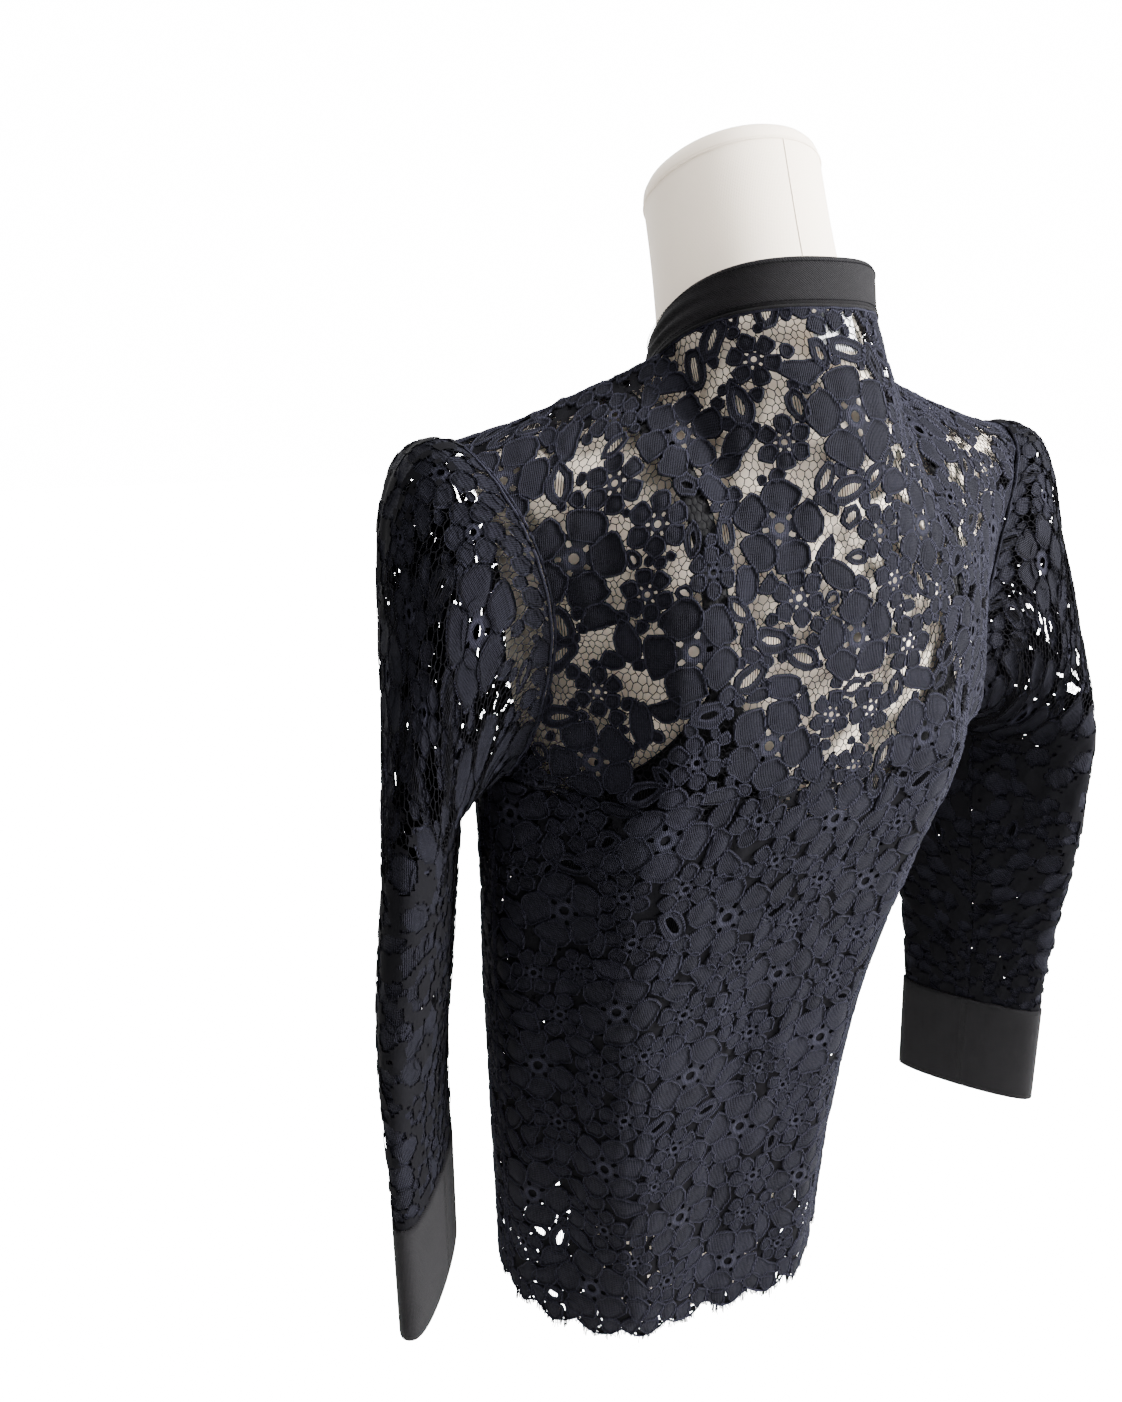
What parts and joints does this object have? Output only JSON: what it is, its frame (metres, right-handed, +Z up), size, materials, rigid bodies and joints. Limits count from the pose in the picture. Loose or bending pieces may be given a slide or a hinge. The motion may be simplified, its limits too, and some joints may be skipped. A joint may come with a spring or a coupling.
{
  "type": "lace top on a dress form",
  "caption": "Long-sleeved corded lace blouse with a stand collar and deep cuffs, on a limbless jersey dress form.",
  "frame": {"origin": "centre of the armhole plane's foot on the surface that the form stands on", "axes": "+Z up, the figure faces -Y, +X is the figure's left side"},
  "size_m": [0.5344, 0.2381, 0.7902],
  "materials": {
    "lace": "black corded floral lace with an open net ground",
    "twill": "matt charcoal-black twill",
    "lining": "smooth black lining cloth",
    "jersey": "cream knitted jersey cover",
    "label": "blank white woven tape",
    "button": "small black button"
  },
  "bodies": {
    "root": {"back": "lace", "front": "lace", "sleeve_left_back": "lace", "sleeve_left_front": "lace", "sleeve_right_back": "lace", "sleeve_right_front": "lace", "collar": "twill", "cuff_left": "twill", "cuff_right": "twill", "collar_button": "button", "lining": "lining", "strap_left": "lining", "strap_right": "lining", "label": "label", "form_body": "jersey", "form_neck_cap": "jersey"}
  },
  "joints": []
}
